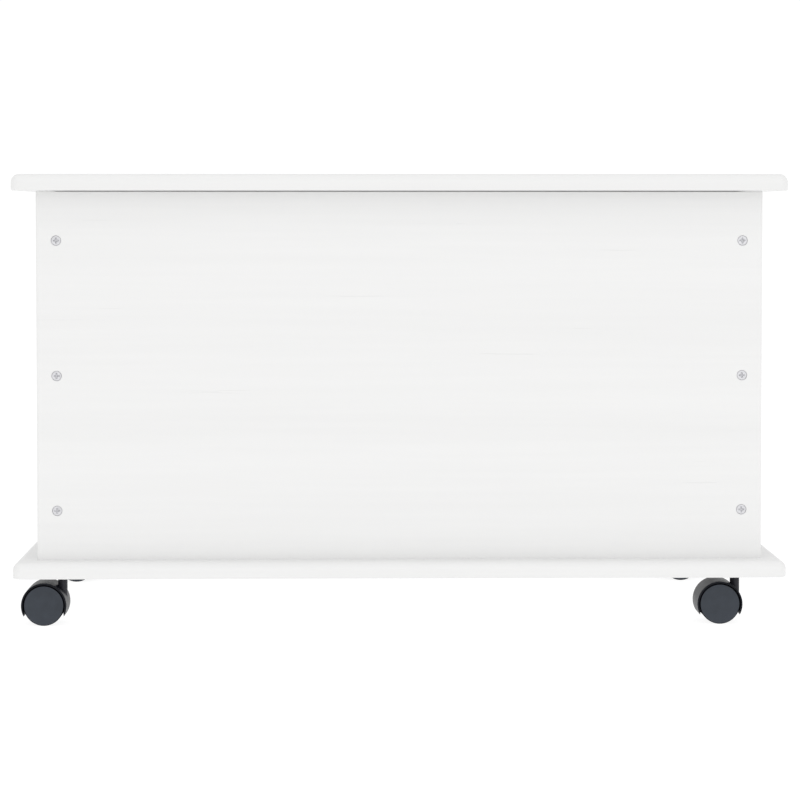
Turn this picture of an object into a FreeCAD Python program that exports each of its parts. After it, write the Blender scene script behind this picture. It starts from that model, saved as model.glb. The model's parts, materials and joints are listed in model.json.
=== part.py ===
"""Wooden toy box with a hinged lid, two slotted lid stays and four hooded twin-wheel casters.

Millimetres. X runs along the length, Y from front to back, Z up. The origin is on the
floor, at the middle of the footprint.
"""
import FreeCAD
import Part
import math
import os

V = FreeCAD.Vector

# overall
LENGTH = 740.0
DEPTH = 400.0
BOARD = 16.0
UNDER = 50.0
PANEL_HEIGHT = 353.0
LID_GAP = 1.0

# lid and base boards
CORNER_R = 8.5
ROUNDOVER_R = 8.0
LOWER_EASE_R = 1.5

# body panels
OVERHANG = 21.5
SIDE_SET_IN = 11.5
PANEL_EDGE_R = 3.0
PANEL_EASE_R = 0.8

# lid battens
BATTEN_X = 240.0
BATTEN_WIDTH = 30.0
BATTEN_THICK = 15.0
BATTEN_HALF = 145.0
BATTEN_SCREW_STEP = 110.0

# screws, as head radius, shank radius and length
PANEL_SCREW = (5.0, 2.2, 50.0)
BATTEN_SCREW = (3.6, 1.8, 26.0)
SMALL_SCREW = (3.3, 1.5, 13.0)
SCREW_STEP = 129.6
SCREW_RAISE = 0.3
SCREW_SINK = 0.2

# hinges
HINGE_X = 220.0
HINGE_LENGTH = 60.0
HINGE_KNUCKLES = 5
BARREL_R = 2.5
HINGE_PIN_R = 1.4
HINGE_RUNNING_GAP = 0.05
KNUCKLE_GAP = 0.3
KNUCKLE_SWEEP_GAP = 0.4
LEAF_THICK = 1.2
LEAF_WIDTH = 18.0
LID_LEAF_WIDTH = 15.0
LEAF_SCREW_STEP = 20.0
HINGE_STAND_OFF = 3.0

# lid stays
LID_OPEN_DEG = 95.0
STAY_R = 140.0
STAY_CLOSED_DEG = 35.0
STAY_PIVOT_DROP = 9.5
ARM_X = 315.5
ARM_THICK = 2.0
ARM_WIDTH = 16.0
SLOT_WIDTH = 7.0
SLOT_SPARE = 6.0
SLOT_STOP_GAP = 0.4
STUD_R = 3.0
STUD_HEAD_R = 5.5
RIVET_R = 2.5
RIVET_HEAD_R = 4.5
PLATE_THICK = 2.0
PLATE_HALF = 22.0
PLATE_SCREW_OFFSET = 14.0
BRACKET_X = 312.5
BRACKET_REACH = 18.0
BRACKET_HALF = 16.0
BRACKET_SCREW_OFFSET = 9.0

# lid pads
PAD_R = 5.0
PAD_THICK = 0.9
PAD_Y = 120.0

# casters
CASTER_X = 327.5
CASTER_Y = 147.0
TRAIL = 16.6
WHEEL_R = 19.4
WHEEL_IN = 5.3
WHEEL_OUT = 18.3
WHEEL_EDGE_R = 1.0
RIM_THICK = 3.0
FACE_THICK = 2.5
HUB_R = 4.5
RIBS = 6
RIB_THICK = 1.4
AXLE_R = 2.0
AXLE_HALF = 15.0
AXLE_RUNNING_GAP = 0.05
HOOD_R = 22.0
HOOD_BORE_R = 20.3
HOOD_HALF = 18.5
HOOD_TIP_DEG = 28.0
HOOD_LIP_DEG = 20.0
WEB_HALF = 4.6
WEB_R = 21.1
WEB_LOW = 12.0
NECK_R = 4.6
NECK_LOW = 11.0
NECK_GAP = 0.3
STEM_PIN_R = 3.0
STEM_THREAD_R = 4.0
STEM_LOW = 20.0
STEM_HIGH = 62.0
SOCKET_R = 6.0
SOCKET_HEIGHT = 13.0

# heights and faces that follow from the sizes above
BASE_TOP = UNDER + BOARD
PANEL_TOP = BASE_TOP + PANEL_HEIGHT
LID_LOW = PANEL_TOP + LID_GAP
LID_TOP = LID_LOW + BOARD
BODY_X = LENGTH / 2 - OVERHANG
BODY_Y = DEPTH / 2 - OVERHANG
INNER_Y = BODY_Y - BOARD
SIDE_OUT = BODY_X - SIDE_SET_IN
SIDE_IN = SIDE_OUT - BOARD
SIDE_MID = (SIDE_OUT + SIDE_IN) / 2
PANEL_MID = (BASE_TOP + PANEL_TOP) / 2
HINGE_Y = BODY_Y + HINGE_STAND_OFF
HINGE_Z = LID_LOW - HINGE_STAND_OFF

nodes = {}


def box(x_range, y_range, z_range):
    low = V(x_range[0], y_range[0], z_range[0])
    return Part.makeBox(
        x_range[1] - x_range[0], y_range[1] - y_range[0], z_range[1] - z_range[0], low
    )


def span(a, b):
    return (min(a, b), max(a, b))


def rod(start, direction, radius, length):
    return Part.makeCylinder(radius, length, V(*start), V(*direction))


def rounded(shape, radius, test):
    """Round every edge whose middle point passes the test."""
    edges = [e for e in shape.Edges if test(e.CenterOfMass)]
    return shape.makeFillet(radius, edges)


def fused(first, *others):
    return first.fuse(list(others)).removeSplitter()


def group(shapes):
    return Part.makeCompound(shapes)


def screw_blank(size, top=0.0):
    """A countersunk screw standing head up, its face at the origin or above it by top."""
    head_r, shank_r, length = size
    land = 0.4
    outline = [
        (0.0, top),
        (head_r, top),
        (head_r, -land),
        (shank_r, -land - (head_r - shank_r)),
        (shank_r, -length + 2 * shank_r),
        (0.0, -length),
    ]
    wire = Part.makePolygon([V(x, 0, z) for x, z in outline + outline[:1]])
    return Part.Face(wire).revolve(V(0, 0, 0), V(0, 0, 1), 360)


def screw(size):
    """The same screw with a cross recess in its head."""
    head_r = size[0]
    arm = head_r * 0.56
    half = head_r * 0.13
    depth = head_r * 0.3
    recess = fused(
        box((-arm, arm), (-half, half), (-depth, 1)),
        box((-half, half), (-arm, arm), (-depth, 1)),
    )
    return screw_blank(size).cut(recess)


def placed(shape, spot, facing):
    copy = shape.copy()
    turn = FreeCAD.Rotation(V(0, 0, 1), V(*facing))
    copy.Placement = FreeCAD.Placement(V(*spot), turn)
    return copy


def screw_set(name, size, spots, hosts):
    """Store a set of like screws and sink each one into the pieces it holds."""
    nodes[name] = group([placed(screw(size), spot, facing) for spot, facing in spots])
    cutters = [placed(screw_blank(size, 1.0), spot, facing) for spot, facing in spots]
    for host in hosts:
        nodes[host] = nodes[host].cut(cutters)


def moulded_board(z_low):
    """A full-size board with rounded plan corners and a large upper roundover."""
    z_high = z_low + BOARD
    x_half = LENGTH / 2
    y_half = DEPTH / 2
    board = box((-x_half, x_half), (-y_half, y_half), (z_low, z_high))
    board = rounded(board, CORNER_R, lambda p: z_low + 1 < p.z < z_high - 1)
    board = rounded(board, ROUNDOVER_R, lambda p: p.z > z_high - 0.01)
    return rounded(board, LOWER_EASE_R, lambda p: p.z < z_low + 0.01)


def build_carcass():
    nodes["base_board"] = moulded_board(UNDER)
    nodes["lid_board"] = moulded_board(LID_LOW)
    height = (BASE_TOP, PANEL_TOP)
    for name, face in (("front_panel", -1), ("back_panel", 1)):
        outer = face * BODY_Y
        panel = box((-BODY_X, BODY_X), span(face * INNER_Y, outer), height)
        panel = rounded(
            panel,
            PANEL_EDGE_R,
            lambda p: abs(abs(p.x) - BODY_X) < 0.01 and abs(p.y - outer) < 0.01,
        )
        nodes[name] = rounded(panel, PANEL_EASE_R, lambda p: p.z > PANEL_TOP - 0.01)
    for name, side in (("left_side_panel", -1), ("right_side_panel", 1)):
        panel = box(span(side * SIDE_IN, side * SIDE_OUT), (-INNER_Y, INNER_Y), height)
        nodes[name] = rounded(
            panel,
            PANEL_EASE_R,
            lambda p: p.z > PANEL_TOP - 0.01 and abs(p.y) < 0.01,
        )
    for name, side in (("lid_batten_left", -1), ("lid_batten_right", 1)):
        middle = side * BATTEN_X
        batten = box(
            (middle - BATTEN_WIDTH / 2, middle + BATTEN_WIDTH / 2),
            (-BATTEN_HALF, BATTEN_HALF),
            (LID_LOW - BATTEN_THICK, LID_LOW),
        )
        nodes[name] = rounded(batten, 2.0, lambda p: p.z < LID_LOW - BATTEN_THICK + 0.01)


def build_panel_screws():
    heights = [PANEL_MID + SCREW_RAISE + step * SCREW_STEP for step in (-1, 0, 1)]
    sides = ["left_side_panel", "right_side_panel"]
    for face, panel in ((-1, "front_panel"), (1, "back_panel")):
        y = face * (BODY_Y - SCREW_SINK)
        spots = [((s * SIDE_MID, y, z), (0, face, 0)) for s in (-1, 1) for z in heights]
        screw_set(panel + "_screws", PANEL_SCREW, spots, [panel] + sides)
    mid_y = BODY_Y - BOARD / 2
    places = [(x, y) for x in (-230, 0, 230) for y in (-mid_y, mid_y)]
    places += [(x, y) for x in (-SIDE_MID, SIDE_MID) for y in (-85, 85)]
    spots = [((x, y, UNDER + SCREW_SINK), (0, 0, -1)) for x, y in places]
    screw_set(
        "base_screws",
        PANEL_SCREW,
        spots,
        ["base_board", "front_panel", "back_panel"] + sides,
    )
    low = LID_LOW - BATTEN_THICK + SCREW_SINK
    spots = [
        ((side * BATTEN_X, step * BATTEN_SCREW_STEP, low), (0, 0, -1))
        for side in (-1, 1)
        for step in (-1, 0, 1)
    ]
    screw_set(
        "lid_batten_screws",
        BATTEN_SCREW,
        spots,
        ["lid_batten_left", "lid_batten_right", "lid_board"],
    )


def build_pads():
    spots = [(x, y) for x in (-SIDE_MID, SIDE_MID) for y in (-PAD_Y, PAD_Y)]
    nodes["lid_pads"] = group(
        [rod((x, y, PANEL_TOP), (0, 0, 1), PAD_R, PAD_THICK) for x, y in spots]
    )


def build_hinge(tag, centre):
    """A five-knuckle butt hinge on the back panel's outer face and under the lid."""
    start = centre - HINGE_LENGTH / 2
    step = HINGE_LENGTH / HINGE_KNUCKLES
    ends = (start, start + HINGE_LENGTH)
    panel_leaf = box(ends, (BODY_Y, BODY_Y + LEAF_THICK), (HINGE_Z - LEAF_WIDTH, HINGE_Z))
    lid_leaf = box(ends, (HINGE_Y, HINGE_Y + LID_LEAF_WIDTH), (LID_LOW - LEAF_THICK, LID_LOW))
    leaves = [panel_leaf, lid_leaf]
    for index in range(HINGE_KNUCKLES):
        low = start + index * step + (KNUCKLE_GAP / 2 if index else 0)
        high = start + (index + 1) * step
        high -= KNUCKLE_GAP / 2 if index < HINGE_KNUCKLES - 1 else 0
        barrel = rod((low, HINGE_Y, HINGE_Z), (1, 0, 0), BARREL_R, high - low)
        sweep = rod(
            (low - KNUCKLE_GAP, HINGE_Y, HINGE_Z),
            (1, 0, 0),
            BARREL_R + KNUCKLE_SWEEP_GAP,
            high - low + 2 * KNUCKLE_GAP,
        )
        owner = index % 2
        leaves[1 - owner] = leaves[1 - owner].cut(sweep)
        leaves[owner] = leaves[owner].fuse(barrel)
    pin = rod((start, HINGE_Y, HINGE_Z), (1, 0, 0), HINGE_PIN_R, HINGE_LENGTH)
    loose = rod(
        (start - 1, HINGE_Y, HINGE_Z),
        (1, 0, 0),
        HINGE_PIN_R + HINGE_RUNNING_GAP,
        HINGE_LENGTH + 2,
    )
    nodes["hinge_" + tag + "_panel_leaf"] = leaves[0].cut(pin).removeSplitter()
    nodes["hinge_" + tag + "_lid_leaf"] = leaves[1].cut(loose).removeSplitter()
    nodes["hinge_" + tag + "_pin"] = pin


def build_hinges():
    sides = (("left", -1), ("right", 1))
    for tag, side in sides:
        build_hinge(tag, side * HINGE_X)
    steps = [
        side * HINGE_X + step * LEAF_SCREW_STEP for side in (-1, 1) for step in (-1, 0, 1)
    ]
    face = BODY_Y + LEAF_THICK
    height = HINGE_Z - LEAF_WIDTH / 2 - 1.5
    spots = [((x, face, height), (0, 1, 0)) for x in steps]
    hosts = ["hinge_left_panel_leaf", "hinge_right_panel_leaf", "back_panel"]
    screw_set("hinge_panel_screws", SMALL_SCREW, spots, hosts)
    depth = HINGE_Y + LID_LEAF_WIDTH / 2 + 1.5
    spots = [((x, depth, LID_LOW - LEAF_THICK), (0, 0, -1)) for x in steps]
    hosts = ["hinge_left_lid_leaf", "hinge_right_lid_leaf", "lid_board"]
    screw_set("hinge_lid_screws", SMALL_SCREW, spots, hosts)


def about_hinge(angle_deg):
    """The Y and Z of a stay point at the stay radius, at an angle below the horizontal."""
    angle = math.radians(angle_deg)
    return HINGE_Y - STAY_R * math.cos(angle), HINGE_Z - STAY_R * math.sin(angle)


def build_stay(tag, side):
    """A slotted arm: it pivots under the lid and slides over a stud on the side panel."""
    drop = math.degrees(math.asin(STAY_PIVOT_DROP / STAY_R))
    pivot_y, pivot_z = about_hinge(drop)
    stud_y, stud_z = about_hinge(drop + STAY_CLOSED_DEG)
    closed = 2 * STAY_R * math.sin(math.radians(STAY_CLOSED_DEG / 2))
    opened = 2 * STAY_R * math.sin(math.radians((STAY_CLOSED_DEG + LID_OPEN_DEG) / 2))
    half = ARM_WIDTH / 2
    slot = SLOT_WIDTH / 2
    slot_low = closed - SLOT_SPARE
    slot_high = opened + SLOT_STOP_GAP
    x_pair = span(side * ARM_X, side * (ARM_X + ARM_THICK))
    far = slot_high + slot
    arm = fused(
        box(x_pair, (0, far), (-half, half)),
        rod((x_pair[0], 0, 0), (1, 0, 0), half, ARM_THICK),
        rod((x_pair[0], far, 0), (1, 0, 0), half, ARM_THICK),
    )
    cutters = [
        rod((x_pair[0] - 1, 0, 0), (1, 0, 0), RIVET_R + HINGE_RUNNING_GAP, ARM_THICK + 2),
        box((x_pair[0] - 1, x_pair[1] + 1), (slot_low, slot_high), (-slot, slot)),
        rod((x_pair[0] - 1, slot_low, 0), (1, 0, 0), slot, ARM_THICK + 2),
        rod((x_pair[0] - 1, slot_high, 0), (1, 0, 0), slot, ARM_THICK + 2),
    ]
    arm = arm.cut(cutters)
    lean = math.degrees(math.atan2(stud_z - pivot_z, stud_y - pivot_y))
    arm.rotate(V(0, 0, 0), V(1, 0, 0), lean)
    arm.translate(V(0, pivot_y, pivot_z))
    nodes["stay_" + tag + "_arm"] = arm

    plate = box(
        span(side * (SIDE_IN - PLATE_THICK), side * SIDE_IN),
        (stud_y - PLATE_HALF, stud_y + PLATE_HALF),
        (stud_z - half, stud_z + half),
    )
    plate = rounded(
        plate, 5.0, lambda p: abs(abs(p.x) - SIDE_IN + PLATE_THICK / 2) < 0.01
    )
    stud_foot = (side * SIDE_IN, stud_y, stud_z)
    inward = (-side, 0, 0)
    stud_length = SIDE_IN - (ARM_X - 0.3)
    shaft = rod(stud_foot, inward, STUD_R, stud_length)
    head_start = (side * (ARM_X - 0.3), stud_y, stud_z)
    head = rod(head_start, inward, STUD_HEAD_R, 1.6)
    nodes["stay_" + tag + "_plate"] = plate.cut(shaft)
    nodes["stay_" + tag + "_stud"] = fused(shaft, head)

    tab_low = pivot_z - 6.5
    tab_x = span(side * BRACKET_X, side * (BRACKET_X + PLATE_THICK))
    tab = box(tab_x, (pivot_y - 7, pivot_y + 7), (tab_low, LID_LOW))
    tab = rounded(tab, 6.4, lambda p: p.z < tab_low + 0.01 and abs(p.y - pivot_y) > 6)
    flange = box(
        span(side * (BRACKET_X + PLATE_THICK), side * (BRACKET_X + PLATE_THICK - BRACKET_REACH)),
        (pivot_y - BRACKET_HALF, pivot_y + BRACKET_HALF),
        (LID_LOW - PLATE_THICK, LID_LOW),
    )
    rivet_start = side * (BRACKET_X - 1.5)
    outward = (side, 0, 0)
    shank_length = ARM_X + ARM_THICK + 0.3 - BRACKET_X
    shank = rod((side * BRACKET_X, pivot_y, pivot_z), outward, RIVET_R, shank_length)
    tail_start = side * (ARM_X + ARM_THICK + 0.3)
    nodes["stay_" + tag + "_rivet"] = fused(
        shank,
        rod((rivet_start, pivot_y, pivot_z), outward, RIVET_HEAD_R, 1.5),
        rod((tail_start, pivot_y, pivot_z), outward, RIVET_HEAD_R, 1.4),
    )
    nodes["stay_" + tag + "_bracket"] = fused(tab, flange).cut(shank)
    return pivot_y, stud_y, stud_z


def build_stays():
    for tag, side in (("left", -1), ("right", 1)):
        pivot_y, stud_y, stud_z = build_stay(tag, side)
    offsets = (-PLATE_SCREW_OFFSET, PLATE_SCREW_OFFSET)
    face = SIDE_IN - PLATE_THICK
    spots = [
        ((side * face, stud_y + off, stud_z), (-side, 0, 0))
        for side in (-1, 1)
        for off in offsets
    ]
    hosts = ["stay_left_plate", "stay_right_plate", "left_side_panel", "right_side_panel"]
    screw_set("stay_plate_screws", SMALL_SCREW, spots, hosts)
    offsets = (-BRACKET_SCREW_OFFSET, BRACKET_SCREW_OFFSET)
    middle = BRACKET_X - (BRACKET_REACH - PLATE_THICK) / 2
    low = LID_LOW - PLATE_THICK
    spots = [
        ((side * middle, pivot_y + off, low), (0, 0, -1)) for side in (-1, 1) for off in offsets
    ]
    hosts = ["stay_left_bracket", "stay_right_bracket", "lid_board"]
    screw_set("stay_bracket_screws", SMALL_SCREW, spots, hosts)


def caster_hood():
    """Arched shell over both wheels, a web between them and a neck for the stem."""
    def at(radius, angle_deg):
        angle = math.radians(angle_deg)
        return V(radius * math.cos(angle), -HOOD_HALF, radius * math.sin(angle))

    tips = (at(HOOD_R, -HOOD_TIP_DEG), at(HOOD_R, 180 + HOOD_TIP_DEG))
    lips = (at(HOOD_BORE_R, -HOOD_LIP_DEG), at(HOOD_BORE_R, 180 + HOOD_LIP_DEG))
    outline = [
        Part.Arc(tips[0], at(HOOD_R, 90), tips[1]).toShape(),
        Part.makeLine(tips[1], lips[1]),
        Part.Arc(lips[1], at(HOOD_BORE_R, 90), lips[0]).toShape(),
        Part.makeLine(lips[0], tips[0]),
    ]
    shell = Part.Face(Part.Wire(outline)).extrude(V(0, 2 * HOOD_HALF, 0))
    shell = rounded(
        shell,
        0.6,
        lambda p: abs(abs(p.y) - HOOD_HALF) < 0.01 and abs(p.x) < 1 and p.z > 9,
    )
    web = rod((0, -WEB_HALF, 0), (0, 1, 0), WEB_R, 2 * WEB_HALF)
    web = web.cut(box((-30, 30), (-10, 10), (-40, WEB_LOW - WHEEL_R)))
    neck_top = UNDER - NECK_GAP - WHEEL_R
    neck = rod((TRAIL, 0, WEB_LOW - WHEEL_R), (0, 0, 1), NECK_R, neck_top - WEB_LOW + WHEEL_R)
    trim = rod((0, -WEB_HALF - 1, 0), (0, 1, 0), HOOD_R, 2 * WEB_HALF + 2)
    above = box((-5, 30), (-10, 10), (NECK_LOW, neck_top + 1))
    neck = neck.common(fused(trim, above))
    hood = fused(shell, web, neck)
    bore_low = STEM_LOW - WHEEL_R - 0.5
    stem_bore = rod((TRAIL, 0, bore_low), (0, 0, 1), STEM_PIN_R + AXLE_RUNNING_GAP, 60)
    axle_bore = rod((0, -10, 0), (0, 1, 0), AXLE_R, 20)
    return hood.cut([stem_bore, axle_bore])


def caster_wheel(face):
    """A moulded wheel with a plain outer face and a ribbed, hollow inner side."""
    width = WHEEL_OUT - WHEEL_IN
    way = (0, face, 0)
    start = (0, face * WHEEL_IN, 0)
    wheel = rod(start, way, WHEEL_R, width)
    wheel = rounded(wheel, WHEEL_EDGE_R, lambda p: abs(abs(p.y) - WHEEL_OUT) < 0.01)
    hollow = rod(start, way, WHEEL_R - RIM_THICK, width - FACE_THICK)
    hub = rod(start, way, HUB_R, width - FACE_THICK)
    wheel = wheel.cut(hollow.cut(hub))
    ribs = []
    rib_y = span(face * (WHEEL_IN + 3), face * (WHEEL_OUT - FACE_THICK + 0.5))
    for index in range(RIBS):
        rib = box((HUB_R - 0.5, WHEEL_R - RIM_THICK + 0.5), rib_y, (-RIB_THICK / 2, RIB_THICK / 2))
        rib.rotate(V(0, 0, 0), V(0, 1, 0), index * 360 / RIBS)
        ribs.append(rib)
    wheel = fused(wheel, *ribs)
    bore_length = AXLE_HALF + 0.4 - WHEEL_IN
    return wheel.cut(rod(start, way, AXLE_R + AXLE_RUNNING_GAP, bore_length))


def build_casters():
    hood = caster_hood()
    wheels = {"front": caster_wheel(-1), "rear": caster_wheel(1)}
    axle = rod((0, -AXLE_HALF, 0), (0, 1, 0), AXLE_R, 2 * AXLE_HALF)
    holes = []
    for row, y in (("front", -CASTER_Y), ("rear", CASTER_Y)):
        for side, x in (("left", -CASTER_X), ("right", CASTER_X)):
            name = "caster_" + row + "_" + side
            shift = V(x - TRAIL, y, WHEEL_R)
            nodes[name + "_hood"] = hood.translated(shift)
            nodes[name + "_axle"] = axle.translated(shift)
            for which, wheel in wheels.items():
                nodes[name + "_wheel_" + which] = wheel.translated(shift)
            thread_low = UNDER + 0.1
            pin = rod((x, y, STEM_LOW), (0, 0, 1), STEM_PIN_R, thread_low - STEM_LOW)
            thread = rod((x, y, thread_low), (0, 0, 1), STEM_THREAD_R, STEM_HIGH - thread_low)
            nodes[name + "_stem"] = fused(pin, thread)
            sleeve = rod((x, y, UNDER), (0, 0, 1), SOCKET_R, SOCKET_HEIGHT)
            holes.append(sleeve)
            bore = rod((x, y, UNDER), (0, 0, 1), STEM_THREAD_R, SOCKET_HEIGHT)
            nodes[name + "_socket"] = sleeve.cut(bore)
    nodes["base_board"] = nodes["base_board"].cut(holes)


build_carcass()
build_panel_screws()
build_pads()
build_hinges()
build_stays()
build_casters()

os.makedirs("parts", exist_ok=True)
for node_name, node_shape in nodes.items():
    node_shape.exportStep("parts/" + node_name + ".step")
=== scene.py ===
"""Looks of the wooden toy box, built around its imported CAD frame.

Metres. X runs along the box, Y from front to back, Z up, and the floor is at Z = 0.
"""
import json
import math

import bmesh
import bpy
from mathutils import Matrix, Vector

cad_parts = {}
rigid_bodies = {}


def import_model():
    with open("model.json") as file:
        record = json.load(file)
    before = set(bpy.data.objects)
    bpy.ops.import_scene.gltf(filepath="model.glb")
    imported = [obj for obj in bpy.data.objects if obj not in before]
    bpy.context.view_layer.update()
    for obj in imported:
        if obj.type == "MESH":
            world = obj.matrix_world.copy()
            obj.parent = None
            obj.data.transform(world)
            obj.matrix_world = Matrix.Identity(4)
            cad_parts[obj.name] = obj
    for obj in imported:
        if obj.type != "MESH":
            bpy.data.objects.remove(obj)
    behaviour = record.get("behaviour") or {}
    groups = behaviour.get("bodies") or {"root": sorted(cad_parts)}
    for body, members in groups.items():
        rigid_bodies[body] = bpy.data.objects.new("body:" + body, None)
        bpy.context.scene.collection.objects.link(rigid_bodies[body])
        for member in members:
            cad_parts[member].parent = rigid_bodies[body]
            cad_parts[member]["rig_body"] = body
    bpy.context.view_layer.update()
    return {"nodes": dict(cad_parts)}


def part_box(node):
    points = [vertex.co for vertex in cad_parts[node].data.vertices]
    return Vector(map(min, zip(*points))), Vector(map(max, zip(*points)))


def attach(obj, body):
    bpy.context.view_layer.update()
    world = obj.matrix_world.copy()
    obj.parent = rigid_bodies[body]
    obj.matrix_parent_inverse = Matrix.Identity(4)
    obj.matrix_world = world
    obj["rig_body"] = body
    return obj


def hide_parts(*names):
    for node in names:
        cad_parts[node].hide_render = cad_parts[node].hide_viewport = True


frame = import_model()
NODES = frame["nodes"]

# one millimetre, and a length too small to see
MM = 0.001
TINY = 0.001 * MM

# camera, level with the upper part of the box and almost square to its front
CAMERA_AT = (-0.0471, -2.6130, 0.3995)
CAMERA_PITCH = -0.0361
CAMERA_YAW = 0.0193
CAMERA_LENS = 114.34
CAMERA_SHIFT = -0.12

# light levels
SKY_LEVEL = 0.85
FLOOR_GLOW = 0.90
FLOOR_GREY = 0.20
BACKDROP_LEVEL = 1.05
FRONT_LIGHT = ((0.15, -1.0, 0.18), 0.18, math.radians(40))
TOP_LIGHT = ((0.15, -0.55, 1.0), 0.50, math.radians(90))

# studio
FLOOR_SIZE = 40.0
DOME_RADIUS = 19.0
DOME_SINK = 0.02
DOME_TURNS = 32
DOME_RISES = 8

# finishes
PAINT = (0.813, 0.813, 0.809)
ZINC = (0.66, 0.66, 0.68)
STEEL = (0.62, 0.62, 0.63)
HOOD_BLACK = (0.005, 0.006, 0.010)
NECK_BLACK = (0.024, 0.024, 0.031)
WHEEL_GREY = (0.034, 0.041, 0.053)
# painted shade: near-black for the band of each wheel's rounded outer edge and running surface,
# darker than the wheel face
TREAD_SHADE_BLACK = (0.004, 0.004, 0.007)
PAD_GREY = (0.66, 0.65, 0.63)
SOCKET_GREY = (0.24, 0.24, 0.25)

# textures: the part of a noise's range that carries the shades, and the grain of the wood
NOISE_LOW = 0.3
NOISE_HIGH = 0.7
GRAIN_STRETCH = 0.03
SEED_SHIFT = (0.37, 0.61, 0.23)

# screws, as shares of the head radius; a recess is its reach, half width and inner corner
SCREW_RIM = 0.15
RECESS_MOUTH = (0.58, 0.13, 0.19)
RECESS_FLOOR = (0.40, 0.07, 0.11)
RECESS_DEPTH = 0.2
RECESS_TIP = 0.28
SHANK_SHARE = {"panel": 0.44, "batten": 0.5, "small": 0.455}
# the rim's slope and flat end this far down, as shares of the rim; the tip, of the shank radius
RIM_SLOPE = 0.7
RIM_FLAT = 0.8
TIP_SHARE = 2
# from one screw to the next, in radians
SCREW_TURN = 0.7

# casters
HOOD_CROWN = 0.12 * MM
HOOD_WALL = 1.7 * MM
HOOD_RIM_R = 0.3 * MM
HOOD_TIP = math.radians(28)
HOOD_LIP = math.radians(20)
WEB_HALF = 4.6 * MM
WEB_INSET = 0.9 * MM
WEB_LOW = 12.0 * MM
NECK_R = 4.6 * MM
NECK_LOW = 11.0 * MM
NECK_END = 2.2 * MM
NECK_COVER = 0.4 * MM
# width of the wheel's outer band that is coloured as painted shade
TREAD_SHADE_WIDTH = 0.62 * MM
WHEEL_CROWN = 0.7 * MM
WHEEL_EDGE_R = 0.6 * MM
RIM_THICK = 3.0 * MM
FACE_THICK = 2.0 * MM
HUB_R = 4.5 * MM
BORE_R = 2.05 * MM
RIBS = 6
RIB_THICK = 1.4 * MM
RIB_INSET = 1.0 * MM
RIB_LAP = 0.2 * MM
SOFT_EDGE = 0.4 * MM

# steps along the curves of a caster
HOOD_STEPS = 72
CROWN_STEPS = 6
RIM_STEPS = 3
WEB_STEPS = 60
WHEEL_STEPS = 72
FACE_STEPS = 8
EDGE_STEPS = 4
NECK_STEPS = 6

# hinges and stays: edges sharper than SHARP_ABOVE, in radians, are broken
EDGE_BEVEL = 0.25 * MM
SHARP_ABOVE = 0.7

# front panel
PANEL_TOP_ZONE = 1.5 * MM
PANEL_RAISE = 0.4 * MM

# new pieces are shaded smooth across edges flatter than this
SMOOTH_BELOW = math.radians(32)


class Graph:
    """A material's or world's node tree, with short calls to add and join nodes."""

    def __init__(self, owner):
        owner.use_nodes = True
        self.tree = owner.node_tree
        self.tree.nodes.clear()

    def add(self, kind, settings=None, **inputs):
        node = self.tree.nodes.new(kind)
        for name, value in (settings or {}).items():
            setattr(node, name, value)
        for name, value in inputs.items():
            self.put(node, name.replace("_", " "), value)
        return node

    def put(self, node, name, value):
        socket = node.inputs[int(name)] if name.isdigit() else node.inputs[name]
        if isinstance(value, bpy.types.NodeSocket):
            self.tree.links.new(value, socket)
        else:
            socket.default_value = value

    def math(self, operation, first, second=0.0):
        node = self.add("ShaderNodeMath", {"operation": operation})
        self.put(node, "0", first)
        self.put(node, "1", second)
        return node.outputs[0]

    def shades(self, noise, colour, dark, light):
        """One colour from dark to light across a noise, both as factors of the colour."""
        node = self.add("ShaderNodeValToRGB", Fac=noise)
        ends = ((NOISE_LOW, dark), (NOISE_HIGH, light))
        for element, (place, factor) in zip(node.color_ramp.elements, ends):
            element.position = place
            element.color = (*scaled(colour, factor), 1.0)
        return node.outputs["Color"]

    def span(self, value, low, high):
        """Maps 0..1 to low..high."""
        node = self.add("ShaderNodeMapRange")
        self.put(node, "Value", value)
        self.put(node, "To Min", low)
        self.put(node, "To Max", high)
        return node.outputs["Result"]


def grey(level):
    return (level, level, level)


def scaled(values, factor):
    return tuple(factor * value for value in values)


def add_camera():
    camera = bpy.data.objects.new("camera", bpy.data.cameras.new("camera"))
    camera.location = CAMERA_AT
    camera.rotation_euler = (math.pi / 2 + CAMERA_PITCH, 0, -CAMERA_YAW)
    camera.data.lens = CAMERA_LENS
    camera.data.shift_y = CAMERA_SHIFT
    bpy.context.scene.collection.objects.link(camera)
    bpy.context.scene.camera = camera


def stage_mesh(name, points, faces):
    mesh = bpy.data.meshes.new(name)
    mesh.from_pydata(points, [], faces)
    thing = bpy.data.objects.new(name, mesh)
    bpy.context.scene.collection.objects.link(thing)
    return thing


def add_floor():
    half = FLOOR_SIZE / 2
    corners = [(-half, -half, 0), (half, -half, 0), (half, half, 0), (-half, half, 0)]
    floor = stage_mesh("floor", corners, [(0, 1, 2, 3)])
    material = bpy.data.materials.new("pale_floor")
    graph = Graph(material)
    shader = graph.add("ShaderNodeBsdfPrincipled", Base_Color=(*grey(FLOOR_GREY), 1))
    shader.inputs["Roughness"].default_value = 0.9
    shader.inputs["Specular IOR Level"].default_value = 0.0
    shader.inputs["Emission Color"].default_value = (1, 1, 1, 1)
    shader.inputs["Emission Strength"].default_value = FLOOR_GLOW
    graph.add("ShaderNodeOutputMaterial", Surface=shader.outputs[0])
    floor.data.materials.append(material)


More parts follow.
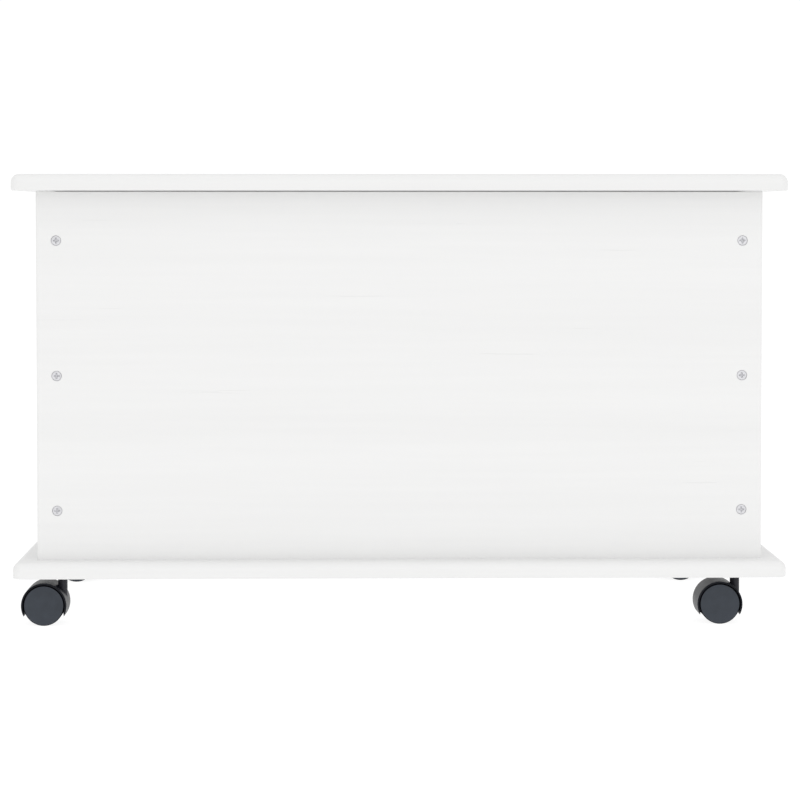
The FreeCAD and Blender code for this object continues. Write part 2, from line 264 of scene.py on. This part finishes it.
def add_backdrop():
    """A white dome round the whole studio, seen by the camera but lighting nothing."""
    points = [(0, 0, DOME_RADIUS)]
    for rise in range(DOME_RISES):
        height = math.pi / 2 * rise / DOME_RISES - DOME_SINK
        for turn in range(DOME_TURNS):
            angle = 2 * math.pi * turn / DOME_TURNS
            ring = DOME_RADIUS * math.cos(height)
            points.append(
                (ring * math.cos(angle), ring * math.sin(angle), DOME_RADIUS * math.sin(height))
            )
    faces = []
    for rise in range(DOME_RISES):
        for turn in range(DOME_TURNS):
            a = 1 + rise * DOME_TURNS + turn
            b = 1 + rise * DOME_TURNS + (turn + 1) % DOME_TURNS
            top = (0,) if rise == DOME_RISES - 1 else (b + DOME_TURNS, a + DOME_TURNS)
            faces.append((a, b, *top))
    dome = stage_mesh("backdrop", points, faces)
    material = bpy.data.materials.new("white_backdrop")
    graph = Graph(material)
    glow = graph.add("ShaderNodeEmission", Strength=BACKDROP_LEVEL)
    graph.add("ShaderNodeOutputMaterial", Surface=glow.outputs[0])
    dome.data.materials.append(material)
    dome.visible_diffuse = False
    dome.visible_glossy = False
    dome.visible_transmission = False
    dome.visible_shadow = False


def add_lights():
    world = bpy.data.worlds.new("sky")
    bpy.context.scene.world = world
    graph = Graph(world)
    sky = graph.add("ShaderNodeBackground", Strength=SKY_LEVEL)
    sky.inputs["Color"].default_value = (1, 1, 1, 1)
    graph.add("ShaderNodeOutputWorld", Surface=sky.outputs[0])
    for name, (way, power, spread) in (("front_light", FRONT_LIGHT), ("top_light", TOP_LIGHT)):
        light = bpy.data.objects.new(name, bpy.data.lights.new(name, "SUN"))
        light.data.energy = power
        light.data.angle = spread
        light.rotation_euler = Vector(way).to_track_quat("Z", "Y").to_euler()
        bpy.context.scene.collection.objects.link(light)


def painted_wood(name, along, seed):
    """White satin paint over pine whose grain runs along one axis (0 is X, 1 is Y)."""
    material = bpy.data.materials.new(name)
    graph = Graph(material)
    place = graph.add("ShaderNodeTexCoord").outputs["Object"]
    stretch = [1.0, 1.0, 1.0]
    stretch[along] = GRAIN_STRETCH
    grain_place = graph.add("ShaderNodeMapping", Vector=place, Scale=stretch)
    grain_place.inputs["Location"].default_value = scaled(SEED_SHIFT, seed)
    grain = graph.add(
        "ShaderNodeTexNoise", Vector=grain_place.outputs[0], Scale=160.0, Detail=5.0
    )
    bands = graph.add(
        "ShaderNodeTexNoise", Vector=grain_place.outputs[0], Scale=22.0, Detail=2.0
    )
    film = graph.add("ShaderNodeTexNoise", Vector=place, Scale=900.0, Detail=2.0)
    tone = graph.math("MULTIPLY", grain.outputs["Fac"], 0.4)
    tone = graph.math("ADD", tone, graph.math("MULTIPLY", bands.outputs["Fac"], 0.6))
    colour = graph.shades(tone, PAINT, dark=0.974, light=1.014)
    height = graph.math("MULTIPLY", grain.outputs["Fac"], 0.7)
    height = graph.math("ADD", height, graph.math("MULTIPLY", film.outputs["Fac"], 0.3))
    bump = graph.add("ShaderNodeBump", Strength=0.12, Distance=0.0004, Height=height)
    shader = graph.add(
        "ShaderNodeBsdfPrincipled",
        Base_Color=colour,
        Roughness=graph.span(grain.outputs["Fac"], low=0.24, high=0.36),
        Normal=bump.outputs[0],
    )
    graph.add("ShaderNodeOutputMaterial", Surface=shader.outputs[0])
    return material


def metal(name, colour, roughness, grain_scale):
    """Plated or drawn steel: faint mottling, and fine scratches stretched by grain_scale."""
    material = bpy.data.materials.new(name)
    graph = Graph(material)
    place = graph.add("ShaderNodeTexCoord").outputs["Object"]
    mottle = graph.add("ShaderNodeTexNoise", Vector=place, Scale=420.0, Detail=4.0)
    drawn = graph.add("ShaderNodeMapping", Vector=place, Scale=grain_scale)
    scratch = graph.add("ShaderNodeTexNoise", Vector=drawn.outputs[0], Scale=2600.0, Detail=3.0)
    shade = graph.shades(mottle.outputs["Fac"], colour, dark=0.9, light=1.08)
    rough = graph.math("ADD", mottle.outputs["Fac"], scratch.outputs["Fac"])
    bump = graph.add(
        "ShaderNodeBump", Strength=0.15, Distance=0.00005, Height=scratch.outputs["Fac"]
    )
    shader = graph.add(
        "ShaderNodeBsdfPrincipled",
        Base_Color=shade,
        Roughness=graph.span(graph.math("MULTIPLY", rough, 0.5), roughness - 0.1, roughness + 0.1),
        Metallic=1.0,
        Normal=bump.outputs[0],
    )
    graph.add("ShaderNodeOutputMaterial", Surface=shader.outputs[0])
    return material


def plastic(name, colour, roughness, ior, texture):
    """Moulded plastic with a fine spark-eroded texture and slightly uneven gloss."""
    material = bpy.data.materials.new(name)
    graph = Graph(material)
    place = graph.add("ShaderNodeTexCoord").outputs["Object"]
    cloud = graph.add("ShaderNodeTexNoise", Vector=place, Scale=90.0, Detail=3.0)
    pits = graph.add("ShaderNodeTexNoise", Vector=place, Scale=5200.0, Detail=2.0)
    shade = graph.shades(cloud.outputs["Fac"], colour, dark=0.88, light=1.12)
    bump = graph.add(
        "ShaderNodeBump", Strength=texture, Distance=0.00004, Height=pits.outputs["Fac"]
    )
    shader = graph.add(
        "ShaderNodeBsdfPrincipled",
        Base_Color=shade,
        Roughness=graph.span(cloud.outputs["Fac"], roughness - 0.06, roughness + 0.06),
        IOR=ior,
        Normal=bump.outputs[0],
    )
    graph.add("ShaderNodeOutputMaterial", Surface=shader.outputs[0])
    return material


def finish_node(name, material):
    node = NODES[name]
    if not node.material_slots:
        node.data.materials.append(material)
    for slot in node.material_slots:
        slot.material = material


def finish_boards():
    boards = [
        ("lid_board", 0),
        ("base_board", 0),
        ("front_panel", 0),
        ("back_panel", 0),
        ("left_side_panel", 1),
        ("right_side_panel", 1),
        ("lid_batten_left", 1),
        ("lid_batten_right", 1),
    ]
    for seed, (name, along) in enumerate(boards):
        finish_node(name, painted_wood("paint_" + name, along, seed))


def new_piece(name, bm, materials, node):
    """Makes bm the visible piece in place of a CAD node, on that node's body."""
    bmesh.ops.recalc_face_normals(bm, faces=bm.faces)
    for edge in bm.edges:
        edge.smooth = len(edge.link_faces) == 2 and edge.calc_face_angle() < SMOOTH_BELOW
    for face in bm.faces:
        face.smooth = True
    mesh = bpy.data.meshes.new(name)
    bm.to_mesh(mesh)
    bm.free()
    for material in materials:
        mesh.materials.append(material)
    piece = bpy.data.objects.new(name, mesh)
    bpy.context.scene.collection.objects.link(piece)
    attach(piece, NODES[node]["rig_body"])
    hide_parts(node)


def solids_of(node):
    """The lowest and highest corner of each separate solid in a CAD node."""
    bm = bmesh.new()
    bm.from_mesh(NODES[node].data)
    bmesh.ops.remove_doubles(bm, verts=bm.verts, dist=TINY)
    left = set(bm.verts)
    found = []
    while left:
        todo = [left.pop()]
        solid = []
        while todo:
            vert = todo.pop()
            solid.append(vert.co.copy())
            for edge in vert.link_edges:
                other = edge.other_vert(vert)
                if other in left:
                    left.discard(other)
                    todo.append(other)
        low = Vector([min(p[i] for p in solid) for i in range(3)])
        high = Vector([max(p[i] for p in solid) for i in range(3)])
        found.append((low, high))
    bm.free()
    return sorted(found, key=lambda pair: tuple(round(c, 5) for c in pair[0]))


def bridge(bm, first, second):
    """Faces between two closed loops of the same number of points."""
    count = len(first)
    for index in range(count):
        after = (index + 1) % count
        bm.faces.new((first[index], first[after], second[after], second[index]))


def quarter_turn(steps, start=0):
    """The sine and one minus the cosine of each step of a quarter turn."""
    for step in range(start, steps + 1):
        angle = math.pi / 2 * step / steps
        yield math.sin(angle), 1 - math.cos(angle)


def turn_profile(bm, profile, origin, axis, steps=40):
    """A turned solid: profile points are (radius, distance along the axis)."""
    frame_of_axis = Vector(axis).to_track_quat("Z", "Y").to_matrix()
    rings = []
    for radius, along in profile:
        if radius < TINY:
            rings.append([bm.verts.new(Vector(origin) + frame_of_axis @ Vector((0, 0, along)))])
            continue
        ring = []
        for step in range(steps):
            angle = 2 * math.pi * step / steps
            spot = Vector((radius * math.cos(angle), radius * math.sin(angle), along))
            ring.append(bm.verts.new(Vector(origin) + frame_of_axis @ spot))
        rings.append(ring)
    for first, second in zip(rings, rings[1:]):
        if len(first) > 1 and len(second) > 1:
            bridge(bm, first, second)
            continue
        ring, tip = (second, first[0]) if len(first) == 1 else (first, second[0])
        for step in range(steps):
            bm.faces.new((tip, ring[step], ring[(step + 1) % steps]))


def domed_end(radius, depth):
    """Profile points of a low dome that hangs below height 0, from its tip up to its rim."""
    points = [(0.0, -depth)]
    for step in reversed(range(NECK_STEPS)):
        angle = math.pi / 2 * step / NECK_STEPS
        points.append((radius * math.cos(angle), -depth * math.sin(angle)))
    return points


def cross_outline(reach, half, corner, turn):
    """Twelve points of a cross whose inner corners are cut back."""
    quarter = [(reach, -half), (reach, half), (corner, corner)]
    points = []
    for step in range(4):
        angle = turn + step * math.pi / 2
        for x, y in quarter:
            points.append(
                (
                    x * math.cos(angle) - y * math.sin(angle),
                    x * math.sin(angle) + y * math.cos(angle),
                )
            )
    return points


def add_screw(bm, face_at, outward, head_r, length, shank_share, turn):
    """A countersunk screw with a bevelled rim and a tapering cross recess."""
    up = Vector((0, 1, 0)) if outward.z else Vector((0, 0, 1))
    frame_of_screw = Matrix((up.cross(outward), up, outward)).transposed()

    def ring(points, height):
        return [bm.verts.new(face_at + frame_of_screw @ Vector((x, y, height))) for x, y in points]

    def circle(radius, height, steps=36):
        turns = [2 * math.pi * step / steps for step in range(steps)]
        return ring([(radius * math.cos(a), radius * math.sin(a)) for a in turns], height)

    def point(loop, depth):
        tip = bm.verts.new(face_at + frame_of_screw @ Vector((0, 0, -depth)))
        for a, b in zip(loop, loop[1:] + loop[:1]):
            bm.faces.new((a, b, tip))

    rim = SCREW_RIM * head_r
    shank_r = shank_share * head_r
    face_ring = circle(head_r - rim, 0)
    mouth = ring(cross_outline(*scaled(RECESS_MOUTH, head_r), turn), 0)
    edges = []
    for loop in (face_ring, mouth):
        edges += [bm.edges.new((a, b)) for a, b in zip(loop, loop[1:] + loop[:1])]
    bmesh.ops.triangle_fill(bm, use_beauty=True, edges=edges)
    floor_outline = cross_outline(*scaled(RECESS_FLOOR, head_r), turn)
    floor_ring = ring(floor_outline, -RECESS_DEPTH * head_r)
    bridge(bm, mouth, floor_ring)
    point(floor_ring, RECESS_TIP * head_r)
    rings = [
        face_ring,
        circle(head_r, -RIM_SLOPE * rim),
        circle(head_r, -RIM_FLAT * rim),
        circle(shank_r, -RIM_FLAT * rim - (head_r - shank_r)),
        circle(shank_r, -length + TIP_SHARE * shank_r),
    ]
    for upper, lower in zip(rings, rings[1:]):
        bridge(bm, upper, lower)
    point(rings[-1], length)


def build_screws(zinc):
    """Every screw again at its CAD place, with a machined head."""
    sets = [
        ("front_panel_screws", (0, -1, 0), "panel"),
        ("back_panel_screws", (0, 1, 0), "panel"),
        ("base_screws", (0, 0, -1), "panel"),
        ("lid_batten_screws", (0, 0, -1), "batten"),
        ("hinge_panel_screws", (0, 1, 0), "small"),
        ("hinge_lid_screws", (0, 0, -1), "small"),
        ("stay_plate_screws", None, "small"),
        ("stay_bracket_screws", (0, 0, -1), "small"),
    ]
    for node, facing, size in sets:
        bm = bmesh.new()
        for index, (low, high) in enumerate(solids_of(node)):
            middle = (low + high) / 2
            way = Vector(facing or (-math.copysign(1, middle.x), 0, 0))
            extent = high - low
            length = abs(extent.dot(way))
            head_r = min(e for e, w in zip(extent, way) if w == 0) / 2
            turn = 0.0 if node == "front_panel_screws" else index * SCREW_TURN
            face_at = middle + way * length / 2
            add_screw(bm, face_at, way, head_r, length, SHANK_SHARE[size], turn)
        new_piece(node + "_cut", bm, [zinc], node)


def hood_shell(bm, centre, outer_r, half):
    """The arched shell, crowned across its width, with rounded rims and pointed tips."""
    bore_r = outer_r - HOOD_WALL
    rim_r = outer_r - HOOD_CROWN
    flat = half - HOOD_RIM_R
    section = []
    for step in range(-CROWN_STEPS, CROWN_STEPS + 1):
        share = step / CROWN_STEPS
        section.append((flat * share, outer_r - HOOD_CROWN * share**2))
    rim = [
        (flat + HOOD_RIM_R * out, rim_r - HOOD_RIM_R * down)
        for out, down in quarter_turn(RIM_STEPS, 1)
    ]
    section += rim + [(half, bore_r), (-half, bore_r)]
    section += [(-y, radius) for y, radius in reversed(rim)]
    rows = []
    for step in range(HOOD_STEPS + 1):
        row = []
        for y, radius in section:
            share = min(1.0, max(0.0, (radius - bore_r) / (rim_r - bore_r)))
            below = HOOD_LIP + (HOOD_TIP - HOOD_LIP) * share
            angle = -below + (math.pi + 2 * below) * step / HOOD_STEPS
            spot = Vector((radius * math.cos(angle), y, radius * math.sin(angle)))
            row.append(bm.verts.new(centre + spot))
        rows.append(row)
    for first, second in zip(rows, rows[1:]):
        bridge(bm, first, second)
    bm.faces.new(rows[0])
    bm.faces.new(rows[-1])


def hood_web(bm, centre, outer_r):
    """The plate between the two wheels that carries the axle."""
    radius = outer_r - WEB_INSET
    low = WEB_LOW - centre.z
    start = math.asin(low / radius)
    flat = WEB_HALF - SOFT_EDGE
    rings = []
    for y, inset in ((-WEB_HALF, SOFT_EDGE), (-flat, 0), (flat, 0), (WEB_HALF, SOFT_EDGE)):
        ring = []
        for step in range(WEB_STEPS + 1):
            angle = start + (math.pi - 2 * start) * step / WEB_STEPS
            reach = radius - inset
            height = max(reach * math.sin(angle), low + inset)
            ring.append(bm.verts.new(centre + Vector((reach * math.cos(angle), y, height))))
        rings.append(ring)
    for first, second in zip(rings, rings[1:]):
        bridge(bm, first, second)
    bm.faces.new(rings[0])
    bm.faces.new(rings[-1])


def build_wheel(bm, node, centre, side):
    """A wheel with a crowned outer face, a hub and ribs inside; the band of its rounded outer edge
    and running surface is near-black, a painted shade.
    """
    low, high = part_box(node)
    radius = (high.x - low.x) / 2
    inner, outer = sorted(abs(y - centre.y) for y in (low.y, high.y))
    shoulder = radius - WHEEL_EDGE_R
    rim_at = outer - WHEEL_CROWN
    profile = [(0.0, outer)]
    for step in range(1, FACE_STEPS + 1):
        share = step / FACE_STEPS
        profile.append((shoulder * share, outer - WHEEL_CROWN * share**2))
    for out, down in quarter_turn(EDGE_STEPS, 1):
        profile.append((shoulder + WHEEL_EDGE_R * out, rim_at - WHEEL_EDGE_R * down))
    for down, out in quarter_turn(EDGE_STEPS):
        profile.append((radius - WHEEL_EDGE_R * out, inner + WHEEL_EDGE_R * (1 - down)))
    face_back = rim_at - FACE_THICK
    profile += [
        (radius - RIM_THICK, inner),
        (radius - RIM_THICK, face_back),
        (HUB_R, face_back),
        (HUB_R, inner),
        (BORE_R, inner),
        (BORE_R, face_back),
        (0.0, face_back),
    ]
    turn_profile(bm, profile, centre, (0, side, 0), WHEEL_STEPS)
    for face in bm.faces:
        # faces near the wheel's rim take the second material, a painted shade of the rounded edge
        reach = min(math.hypot(v.co.x - centre.x, v.co.z - centre.z) for v in face.verts)
        face.material_index = 1 if reach > radius - TREAD_SHADE_WIDTH else 0
    for step in range(RIBS):
        spin = Matrix.Rotation(2 * math.pi / RIBS * step, 4, "Y")
        near, far = HUB_R - RIB_LAP, radius - RIM_THICK + RIB_LAP
        middle = Vector(((near + far) / 2, side * (inner + RIB_INSET + face_back) / 2, 0))
        size = (far - near, face_back - inner - RIB_INSET + RIB_LAP, RIB_THICK)
        place = Matrix.Translation(centre) @ spin @ Matrix.Translation(middle)
        bmesh.ops.create_cube(bm, size=1, matrix=place @ Matrix.Diagonal((*size, 1)))


def build_casters(shell, neck, disc, tread_shade):
    for row in ("front", "rear"):
        for side in ("left", "right"):
            caster = "caster_" + row + "_" + side
            axle_low, axle_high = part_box(caster + "_axle")
            hood_low, hood_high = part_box(caster + "_hood")
            stem_low, stem_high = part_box(caster + "_stem")
            centre = (axle_low + axle_high) / 2
            outer_r = (hood_high.x - hood_low.x) / 2
            bm = bmesh.new()
            hood_shell(bm, centre, outer_r, (hood_high.y - hood_low.y) / 2)
            shell_faces = set(bm.faces)
            hood_web(bm, centre, outer_r)
            swivel = (stem_low + stem_high) / 2
            neck_low = min(centre.z + NECK_LOW, stem_low.z - NECK_COVER)
            top = hood_high.z - neck_low
            profile = domed_end(NECK_R, NECK_END) + [
                (NECK_R, top - SOFT_EDGE),
                (NECK_R - SOFT_EDGE, top),
                (0.0, top),
            ]
            turn_profile(bm, profile, (swivel.x, swivel.y, neck_low), (0, 0, 1))
            for face in set(bm.faces) - shell_faces:
                face.material_index = 1
            new_piece(caster + "_shell", bm, [shell, neck], caster + "_hood")
            for which in ("front", "rear"):
                node = caster + "_wheel_" + which
                bm = bmesh.new()
                build_wheel(bm, node, centre, -1 if which == "front" else 1)
                new_piece(node + "_turned", bm, [disc, tread_shade], node)


def bevelled(node, material):
    """The CAD shape again with its sharp edges broken."""
    bm = bmesh.new()
    bm.from_mesh(NODES[node].data)
    bmesh.ops.remove_doubles(bm, verts=bm.verts, dist=2 * TINY)
    bmesh.ops.dissolve_limit(
        bm, angle_limit=math.radians(1), verts=bm.verts, edges=bm.edges, delimit=set()
    )
    sharp = [e for e in bm.edges if len(e.link_faces) == 2 and e.calc_face_angle() > SHARP_ABOVE]
    bmesh.ops.bevel(
        bm,
        geom=sharp,
        offset=EDGE_BEVEL,
        offset_type="OFFSET",
        segments=2,
        profile=0.5,
        affect="EDGES",
        clamp_overlap=True,
    )
    bmesh.ops.dissolve_degenerate(bm, dist=TINY, edges=bm.edges)
    new_piece(node + "_eased", bm, [material], node)


def raise_front_panel():
    """The front panel again, its top edge a little closer under the lid."""
    bm = bmesh.new()
    bm.from_mesh(NODES["front_panel"].data)
    top = max(vert.co.z for vert in bm.verts)
    for vert in bm.verts:
        if vert.co.z > top - PANEL_TOP_ZONE:
            vert.co.z += PANEL_RAISE
    paint = NODES["front_panel"].material_slots[0].material
    new_piece("front_panel_raised", bm, [paint], "front_panel")


def build_hardware(zinc, steel):
    for side in ("left", "right"):
        for part in ("panel_leaf", "lid_leaf"):
            bevelled("hinge_" + side + "_" + part, zinc)
        finish_node("hinge_" + side + "_pin", zinc)
        for part in ("arm", "plate", "bracket"):
            bevelled("stay_" + side + "_" + part, steel)
        for part in ("stud", "rivet"):
            finish_node("stay_" + side + "_" + part, steel)


def finish_hardware():
    zinc = metal("zinc", ZINC, roughness=0.38, grain_scale=(1, 1, 1))
    steel = metal("stay_steel", STEEL, roughness=0.34, grain_scale=(1, 0.08, 0.08))
    shell = plastic("hood_plastic", HOOD_BLACK, roughness=0.36, ior=1.24, texture=0.25)
    neck = plastic("neck_plastic", NECK_BLACK, roughness=0.42, ior=1.3, texture=0.25)
    disc = plastic("wheel_plastic", WHEEL_GREY, roughness=0.5, ior=1.38, texture=0.3)
    # painted shade for the rounded outer edge and running surface of each wheel
    tread_shade = plastic("tread_painted_shade", TREAD_SHADE_BLACK, roughness=0.8, ior=1.12, texture=0.4)
    socket = plastic("socket_plastic", SOCKET_GREY, roughness=0.55, ior=1.45, texture=0.3)
    pad = plastic("pad", PAD_GREY, roughness=0.8, ior=1.4, texture=0.6)
    build_screws(zinc)
    build_hardware(zinc, steel)
    build_casters(shell, neck, disc, tread_shade)
    finish_node("lid_pads", pad)
    for name in NODES:
        if name.endswith("_stem") or name.endswith("_axle"):
            finish_node(name, steel)
        elif name.endswith("_socket"):
            finish_node(name, socket)


bpy.context.scene.view_settings.view_transform = "Standard"
add_camera()
add_lights()
add_floor()
add_backdrop()
finish_boards()
raise_front_panel()
finish_hardware()
